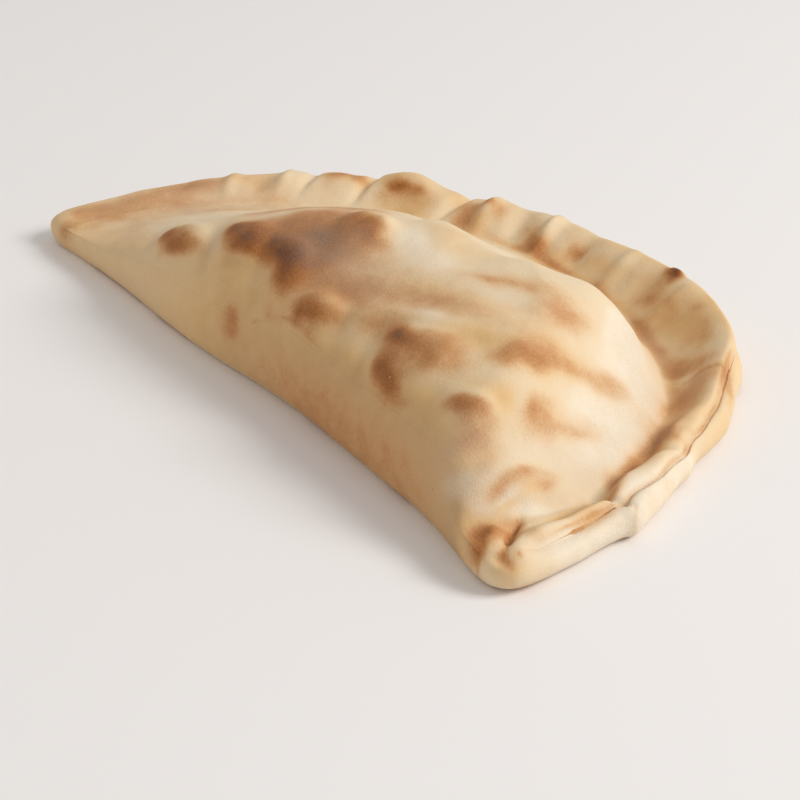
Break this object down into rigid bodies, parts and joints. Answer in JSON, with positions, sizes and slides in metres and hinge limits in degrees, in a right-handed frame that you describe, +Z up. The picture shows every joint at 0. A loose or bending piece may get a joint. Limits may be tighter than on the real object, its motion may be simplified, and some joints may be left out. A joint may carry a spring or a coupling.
{
  "type": "calzone",
  "caption": "Whole baked calzone: a half-round pocket of dough with a domed filled body, a plump folded side and a rolled, pinched rim, lying on its flat underside.",
  "frame": {"origin": "middle of the bounding box, on the plane of the flat underside", "axes": "+X along the straight fold, towards the blunt corner; +Y towards the rolled rim; +Z up"},
  "size_m": [0.2942, 0.1584, 0.0515],
  "materials": {
    "baked_dough": null
  },
  "bodies": {
    "root": {"calzone": "baked_dough"}
  },
  "joints": []
}
